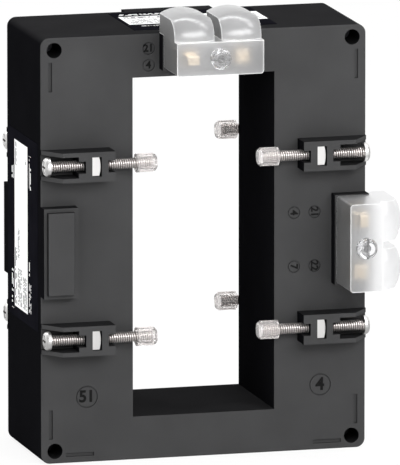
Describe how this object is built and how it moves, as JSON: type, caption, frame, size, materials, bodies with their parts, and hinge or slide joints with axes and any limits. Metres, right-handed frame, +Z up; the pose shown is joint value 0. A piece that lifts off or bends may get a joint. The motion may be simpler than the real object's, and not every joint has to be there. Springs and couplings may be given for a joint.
{
  "type": "current transformer",
  "caption": "Window-type current transformer in a rectangular two-shell housing, with busbar clamp screws and clear-covered secondary terminals.",
  "frame": {"origin": "middle of the busbar window, half way through the housing", "axes": "+X to the right seen from the front, +Y from the front face to the rear, +Z up"},
  "size_m": [0.1346, 0.0852, 0.17],
  "materials": {
    "housing": "fine-textured black plastic",
    "dark_steel": "blackened steel",
    "core_steel": "wound silicon steel strip",
    "tape": "insulating tape",
    "bobbin": "natural nylon",
    "copper": "enamelled copper wire",
    "lead": "insulated wire",
    "insert": "light grey plastic",
    "clear_cover": "clear polycarbonate",
    "clear_screw": "clear polycarbonate",
    "brass": "plated brass",
    "label": "printed film",
    "nickel": "nickel-plated steel",
    "clear_cap": "clear plastic"
  },
  "bodies": {
    "housing": {"front_shell": "housing", "rear_shell": "housing", "case_screws": "dark_steel", "core": "core_steel", "core_tape_top": "tape", "core_tape_bottom": "tape", "bobbin_left": "bobbin", "bobbin_right": "bobbin", "winding_left": "copper", "winding_right": "copper", "lead_top_left": "lead", "lead_top_right": "lead", "lead_side_lower": "lead", "lead_side_upper": "lead", "winding_link": "lead", "terminal_block_top": "insert", "terminal_cover_top": "clear_cover", "cover_screw_top": "clear_screw", "terminal_clamp_top_first": "brass", "terminal_screw_top_first": "brass", "terminal_clamp_top_second": "brass", "terminal_screw_top_second": "brass", "terminal_block_side": "insert", "terminal_cover_side": "clear_cover", "cover_screw_side": "clear_screw", "terminal_clamp_side_first": "brass", "terminal_screw_side_first": "brass", "terminal_clamp_side_second": "brass", "terminal_screw_side_second": "brass", "blank_plate_front_left": "housing", "blank_plate_rear_top": "housing", "blank_plate_rear_left": "housing", "blank_plate_rear_right": "housing", "rating_label_top": "label", "rating_label_side": "label", "clamp_nut_front_upper_left": "nickel", "clamp_nut_front_upper_right": "nickel", "clamp_nut_front_lower_left": "nickel", "clamp_nut_front_lower_right": "nickel", "clamp_nut_rear_upper_left": "nickel", "clamp_nut_rear_upper_right": "nickel", "clamp_nut_rear_lower_left": "nickel", "clamp_nut_rear_lower_right": "nickel"},
    "cap_front_upper_left": {"clamp_cap_front_upper_left": "clear_cap"},
    "screw_front_upper_left": {"clamp_screw_front_upper_left": "nickel"},
    "cap_front_upper_right": {"clamp_cap_front_upper_right": "clear_cap"},
    "screw_front_upper_right": {"clamp_screw_front_upper_right": "nickel"},
    "cap_front_lower_left": {"clamp_cap_front_lower_left": "clear_cap"},
    "screw_front_lower_left": {"clamp_screw_front_lower_left": "nickel"},
    "cap_front_lower_right": {"clamp_cap_front_lower_right": "clear_cap"},
    "screw_front_lower_right": {"clamp_screw_front_lower_right": "nickel"},
    "cap_rear_upper_left": {"clamp_cap_rear_upper_left": "clear_cap"},
    "screw_rear_upper_left": {"clamp_screw_rear_upper_left": "nickel"},
    "cap_rear_upper_right": {"clamp_cap_rear_upper_right": "clear_cap"},
    "screw_rear_upper_right": {"clamp_screw_rear_upper_right": "nickel"},
    "cap_rear_lower_left": {"clamp_cap_rear_lower_left": "clear_cap"},
    "screw_rear_lower_left": {"clamp_screw_rear_lower_left": "nickel"},
    "cap_rear_lower_right": {"clamp_cap_rear_lower_right": "clear_cap"},
    "screw_rear_lower_right": {"clamp_screw_rear_lower_right": "nickel"}
  },
  "joints": [
    {"name": "advance_front_upper_left", "type": "slide", "parent": "housing", "child": "cap_front_upper_left", "axis": [1, 0, 0], "range_m": [-0.0085, 0.00978]},
    {"name": "turn_front_upper_left", "type": "hinge", "parent": "cap_front_upper_left", "child": "screw_front_upper_left", "pos_m": [-0.0625, -0.0295, 0.03275], "axis": [1, 0, 0], "range_deg": [-3600, 4140]},
    {"name": "advance_front_upper_right", "type": "slide", "parent": "housing", "child": "cap_front_upper_right", "axis": [-1, 0, 0], "range_m": [-0.0085, 0.00978]},
    {"name": "turn_front_upper_right", "type": "hinge", "parent": "cap_front_upper_right", "child": "screw_front_upper_right", "pos_m": [0.0625, -0.0295, 0.03275], "axis": [-1, 0, 0], "range_deg": [-3600, 4140]},
    {"name": "advance_front_lower_left", "type": "slide", "parent": "housing", "child": "cap_front_lower_left", "axis": [1, 0, 0], "range_m": [-0.0085, 0.00978]},
    {"name": "turn_front_lower_left", "type": "hinge", "parent": "cap_front_lower_left", "child": "screw_front_lower_left", "pos_m": [-0.0625, -0.0295, -0.03275], "axis": [1, 0, 0], "range_deg": [-3600, 4140]},
    {"name": "advance_front_lower_right", "type": "slide", "parent": "housing", "child": "cap_front_lower_right", "axis": [-1, 0, 0], "range_m": [-0.0085, 0.00978]},
    {"name": "turn_front_lower_right", "type": "hinge", "parent": "cap_front_lower_right", "child": "screw_front_lower_right", "pos_m": [0.0625, -0.0295, -0.03275], "axis": [-1, 0, 0], "range_deg": [-3600, 4140]},
    {"name": "advance_rear_upper_left", "type": "slide", "parent": "housing", "child": "cap_rear_upper_left", "axis": [1, 0, 0], "range_m": [-0.0085, 0.00978]},
    {"name": "turn_rear_upper_left", "type": "hinge", "parent": "cap_rear_upper_left", "child": "screw_rear_upper_left", "pos_m": [-0.0625, 0.0295, 0.03275], "axis": [1, 0, 0], "range_deg": [-3600, 4140]},
    {"name": "advance_rear_upper_right", "type": "slide", "parent": "housing", "child": "cap_rear_upper_right", "axis": [-1, 0, 0], "range_m": [-0.0085, 0.00978]},
    {"name": "turn_rear_upper_right", "type": "hinge", "parent": "cap_rear_upper_right", "child": "screw_rear_upper_right", "pos_m": [0.0625, 0.0295, 0.03275], "axis": [-1, 0, 0], "range_deg": [-3600, 4140]},
    {"name": "advance_rear_lower_left", "type": "slide", "parent": "housing", "child": "cap_rear_lower_left", "axis": [1, 0, 0], "range_m": [-0.0085, 0.00978]},
    {"name": "turn_rear_lower_left", "type": "hinge", "parent": "cap_rear_lower_left", "child": "screw_rear_lower_left", "pos_m": [-0.0625, 0.0295, -0.03275], "axis": [1, 0, 0], "range_deg": [-3600, 4140]},
    {"name": "advance_rear_lower_right", "type": "slide", "parent": "housing", "child": "cap_rear_lower_right", "axis": [-1, 0, 0], "range_m": [-0.0085, 0.00978]},
    {"name": "turn_rear_lower_right", "type": "hinge", "parent": "cap_rear_lower_right", "child": "screw_rear_lower_right", "pos_m": [0.0625, 0.0295, -0.03275], "axis": [-1, 0, 0], "range_deg": [-3600, 4140]}
  ],
  "couplings": [
    {"joint": "turn_front_upper_left", "follows": "advance_front_upper_left", "rad_per_m": 7392},
    {"joint": "turn_front_upper_right", "follows": "advance_front_upper_right", "rad_per_m": 7392},
    {"joint": "turn_front_lower_left", "follows": "advance_front_lower_left", "rad_per_m": 7392},
    {"joint": "turn_front_lower_right", "follows": "advance_front_lower_right", "rad_per_m": 7392},
    {"joint": "turn_rear_upper_left", "follows": "advance_rear_upper_left", "rad_per_m": 7392},
    {"joint": "turn_rear_upper_right", "follows": "advance_rear_upper_right", "rad_per_m": 7392},
    {"joint": "turn_rear_lower_left", "follows": "advance_rear_lower_left", "rad_per_m": 7392},
    {"joint": "turn_rear_lower_right", "follows": "advance_rear_lower_right", "rad_per_m": 7392}
  ]
}
